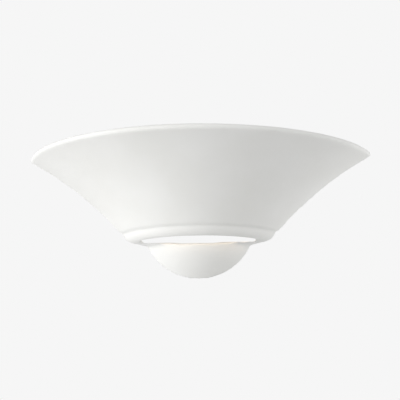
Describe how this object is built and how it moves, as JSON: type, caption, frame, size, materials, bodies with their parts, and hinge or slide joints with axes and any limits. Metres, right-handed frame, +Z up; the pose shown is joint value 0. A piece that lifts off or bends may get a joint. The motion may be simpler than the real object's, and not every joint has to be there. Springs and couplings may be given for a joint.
{
  "type": "uplighter wall sconce",
  "caption": "Half-bowl ceramic wall uplighter with a flared rim, a beaded foot and a slotted ball below it, on a steel wall plate with a lampholder lying across.",
  "frame": {"origin": "on the wall, midway between the two fixing holes of the wall plate", "axes": "+X to the right as seen from the room, +Y into the wall, +Z up"},
  "size_m": [0.3702, 0.147, 0.1355],
  "materials": {
    "ceramic": "unglazed white fired ceramic, matt, very fine grain",
    "zinc_steel": "zinc plated, slightly dull",
    "brass": "turned, lightly tarnished",
    "black_phenolic": "moulded, semi-gloss",
    "porcelain": "glazed porcelain",
    "nickel": "nickel plated, satin",
    "opal_glass": "opal glass, satin",
    "clear_glass": "clear glass",
    "black_glass": "fused black glass",
    "solder": "dull solder",
    "filament_wire": "drawn wire",
    "block_nylon": "natural moulded nylon",
    "grey_rubber": "moulded rubber",
    "brown_wire": "silicone lead insulation",
    "blue_wire": "silicone lead insulation",
    "earth_wire": "green and yellow lead insulation",
    "glass_sleeve": "woven heat sleeve"
  },
  "bodies": {
    "root": {"shade_studs": "zinc_steel", "wall_plate": "zinc_steel", "cable_grommet": "grey_rubber", "holder_bracket": "zinc_steel", "bracket_screws": "zinc_steel", "holder_nipple": "brass", "nipple_washer": "zinc_steel", "nipple_locknut": "zinc_steel", "holder_cap": "black_phenolic", "holder_barrel": "black_phenolic", "holder_insert": "porcelain", "contact_posts": "brass", "screw_shell": "brass", "centre_contact": "brass", "holder_terminals": "brass", "holder_terminal_screws": "nickel", "terminal_block": "block_nylon", "terminal_tubes": "brass", "clamp_screws": "nickel", "block_screws": "zinc_steel", "earth_washer": "zinc_steel", "earth_tag": "nickel", "earth_screw": "brass", "live_lead": "brown_wire", "neutral_lead": "blue_wire", "earth_lead": "earth_wire", "heat_sleeves": "glass_sleeve"},
    "shade": {"ceramic_shade": "ceramic", "shade_washers": "zinc_steel"},
    "left_nut": {"left_shade_nut": "brass"},
    "right_nut": {"right_shade_nut": "brass"},
    "bulb": {"bulb_glass": "opal_glass", "bulb_cap": "nickel", "cap_insulator": "black_glass", "bulb_tip": "solder", "bulb_stem": "clear_glass", "support_wires": "filament_wire", "bulb_filament": "filament_wire"}
  },
  "joints": [
    {"name": "shade_pull", "type": "slide", "parent": "root", "child": "shade", "axis": [0, -1, 0], "range_m": [0, 0.06]},
    {"name": "left_nut_spin", "type": "hinge", "parent": "shade", "child": "left_nut", "pos_m": [-0.095, -0.0167, 0], "axis": [0, -1, 0], "continuous": true},
    {"name": "right_nut_spin", "type": "hinge", "parent": "shade", "child": "right_nut", "pos_m": [0.095, -0.0167, 0], "axis": [0, -1, 0], "continuous": true},
    {"name": "bulb_pull", "type": "slide", "parent": "root", "child": "bulb", "axis": [1, 0, 0], "range_m": [0, 0.03]}
  ]
}
